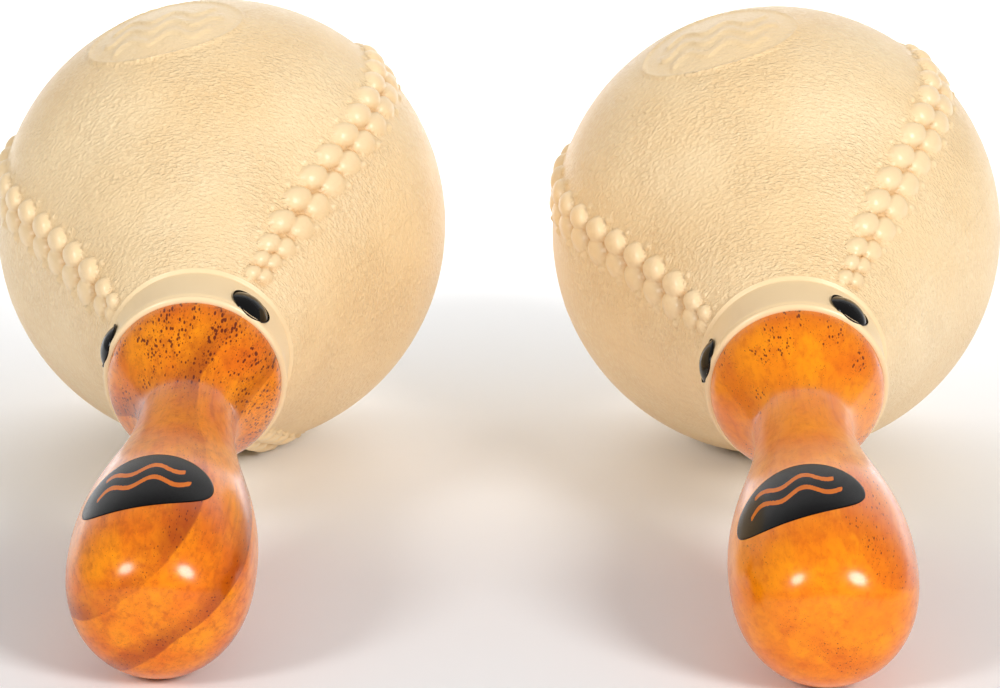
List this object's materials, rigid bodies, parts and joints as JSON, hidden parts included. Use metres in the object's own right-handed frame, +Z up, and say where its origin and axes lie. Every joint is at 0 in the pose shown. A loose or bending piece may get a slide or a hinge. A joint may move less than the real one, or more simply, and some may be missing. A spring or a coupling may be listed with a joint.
{
  "type": "pair of maracas",
  "caption": "Pair of maracas: round moulded heads with stitched-look seams, turned wooden handles held by dome tacks, and loose pellets inside.",
  "frame": {"origin": "middle of the base of the pair's bounding box, on the surface that it lies on", "axes": "+Z up; the handles point to -Y, side by side along X, with the heads and the butts of the handles on the surface"},
  "size_m": [0.2014, 0.2076, 0.0901],
  "materials": {
    "shell": "satin cream plastic with a moulded leather grain; smooth and glossier on the collar",
    "wood": "glossy amber varnish over open-pored hardwood",
    "tack": "gloss black",
    "pellet": "plain"
  },
  "bodies": {
    "left_maraca": {"left_upper_shell": "shell", "left_lower_shell": "shell", "left_handle": "wood", "left_tack_1": "tack", "left_tack_2": "tack", "left_tack_3": "tack"},
    "right_maraca": {"right_upper_shell": "shell", "right_lower_shell": "shell", "right_handle": "wood", "right_tack_1": "tack", "right_tack_2": "tack", "right_tack_3": "tack"},
    "left_pellet_01": {"left_pellet_01": "pellet"},
    "left_pellet_02": {"left_pellet_02": "pellet"},
    "left_pellet_03": {"left_pellet_03": "pellet"},
    "left_pellet_04": {"left_pellet_04": "pellet"},
    "left_pellet_05": {"left_pellet_05": "pellet"},
    "left_pellet_06": {"left_pellet_06": "pellet"},
    "left_pellet_07": {"left_pellet_07": "pellet"},
    "left_pellet_08": {"left_pellet_08": "pellet"},
    "left_pellet_09": {"left_pellet_09": "pellet"},
    "left_pellet_10": {"left_pellet_10": "pellet"},
    "left_pellet_11": {"left_pellet_11": "pellet"},
    "left_pellet_12": {"left_pellet_12": "pellet"},
    "right_pellet_01": {"right_pellet_01": "pellet"},
    "right_pellet_02": {"right_pellet_02": "pellet"},
    "right_pellet_03": {"right_pellet_03": "pellet"},
    "right_pellet_04": {"right_pellet_04": "pellet"},
    "right_pellet_05": {"right_pellet_05": "pellet"},
    "right_pellet_06": {"right_pellet_06": "pellet"},
    "right_pellet_07": {"right_pellet_07": "pellet"},
    "right_pellet_08": {"right_pellet_08": "pellet"},
    "right_pellet_09": {"right_pellet_09": "pellet"},
    "right_pellet_10": {"right_pellet_10": "pellet"},
    "right_pellet_11": {"right_pellet_11": "pellet"},
    "right_pellet_12": {"right_pellet_12": "pellet"}
  },
  "joints": [
    {"name": "right_maraca_lift", "type": "slide", "parent": "left_maraca", "child": "right_maraca", "axis": [0, 0, 1], "range_m": [0, 0.15]},
    {"name": "left_pellet_01_bounce", "type": "slide", "parent": "left_maraca", "child": "left_pellet_01", "axis": [0, 0, 1], "range_m": [0, 0.07851]},
    {"name": "left_pellet_02_bounce", "type": "slide", "parent": "left_maraca", "child": "left_pellet_02", "axis": [0, 0, 1], "range_m": [0, 0.07851]},
    {"name": "left_pellet_03_bounce", "type": "slide", "parent": "left_maraca", "child": "left_pellet_03", "axis": [0, 0, 1], "range_m": [0, 0.07851]},
    {"name": "left_pellet_04_bounce", "type": "slide", "parent": "left_maraca", "child": "left_pellet_04", "axis": [0, 0, 1], "range_m": [0, 0.07771]},
    {"name": "left_pellet_05_bounce", "type": "slide", "parent": "left_maraca", "child": "left_pellet_05", "axis": [0, 0, 1], "range_m": [0, 0.07771]},
    {"name": "left_pellet_06_bounce", "type": "slide", "parent": "left_maraca", "child": "left_pellet_06", "axis": [0, 0, 1], "range_m": [0, 0.07771]},
    {"name": "left_pellet_07_bounce", "type": "slide", "parent": "left_maraca", "child": "left_pellet_07", "axis": [0, 0, 1], "range_m": [0, 0.0769]},
    {"name": "left_pellet_08_bounce", "type": "slide", "parent": "left_maraca", "child": "left_pellet_08", "axis": [0, 0, 1], "range_m": [0, 0.0769]},
    {"name": "left_pellet_09_bounce", "type": "slide", "parent": "left_maraca", "child": "left_pellet_09", "axis": [0, 0, 1], "range_m": [0, 0.0769]},
    {"name": "left_pellet_10_bounce", "type": "slide", "parent": "left_maraca", "child": "left_pellet_10", "axis": [0, 0, 1], "range_m": [0, 0.0769]},
    {"name": "left_pellet_11_bounce", "type": "slide", "parent": "left_maraca", "child": "left_pellet_11", "axis": [0, 0, 1], "range_m": [0, 0.0769]},
    {"name": "left_pellet_12_bounce", "type": "slide", "parent": "left_maraca", "child": "left_pellet_12", "axis": [0, 0, 1], "range_m": [0, 0.0769]},
    {"name": "right_pellet_01_bounce", "type": "slide", "parent": "right_maraca", "child": "right_pellet_01", "axis": [0, 0, 1], "range_m": [0, 0.07851]},
    {"name": "right_pellet_02_bounce", "type": "slide", "parent": "right_maraca", "child": "right_pellet_02", "axis": [0, 0, 1], "range_m": [0, 0.07851]},
    {"name": "right_pellet_03_bounce", "type": "slide", "parent": "right_maraca", "child": "right_pellet_03", "axis": [0, 0, 1], "range_m": [0, 0.07851]},
    {"name": "right_pellet_04_bounce", "type": "slide", "parent": "right_maraca", "child": "right_pellet_04", "axis": [0, 0, 1], "range_m": [0, 0.07771]},
    {"name": "right_pellet_05_bounce", "type": "slide", "parent": "right_maraca", "child": "right_pellet_05", "axis": [0, 0, 1], "range_m": [0, 0.07771]},
    {"name": "right_pellet_06_bounce", "type": "slide", "parent": "right_maraca", "child": "right_pellet_06", "axis": [0, 0, 1], "range_m": [0, 0.07771]},
    {"name": "right_pellet_07_bounce", "type": "slide", "parent": "right_maraca", "child": "right_pellet_07", "axis": [0, 0, 1], "range_m": [0, 0.0769]},
    {"name": "right_pellet_08_bounce", "type": "slide", "parent": "right_maraca", "child": "right_pellet_08", "axis": [0, 0, 1], "range_m": [0, 0.0769]},
    {"name": "right_pellet_09_bounce", "type": "slide", "parent": "right_maraca", "child": "right_pellet_09", "axis": [0, 0, 1], "range_m": [0, 0.0769]},
    {"name": "right_pellet_10_bounce", "type": "slide", "parent": "right_maraca", "child": "right_pellet_10", "axis": [0, 0, 1], "range_m": [0, 0.0769]},
    {"name": "right_pellet_11_bounce", "type": "slide", "parent": "right_maraca", "child": "right_pellet_11", "axis": [0, 0, 1], "range_m": [0, 0.0769]},
    {"name": "right_pellet_12_bounce", "type": "slide", "parent": "right_maraca", "child": "right_pellet_12", "axis": [0, 0, 1], "range_m": [0, 0.0769]}
  ]
}
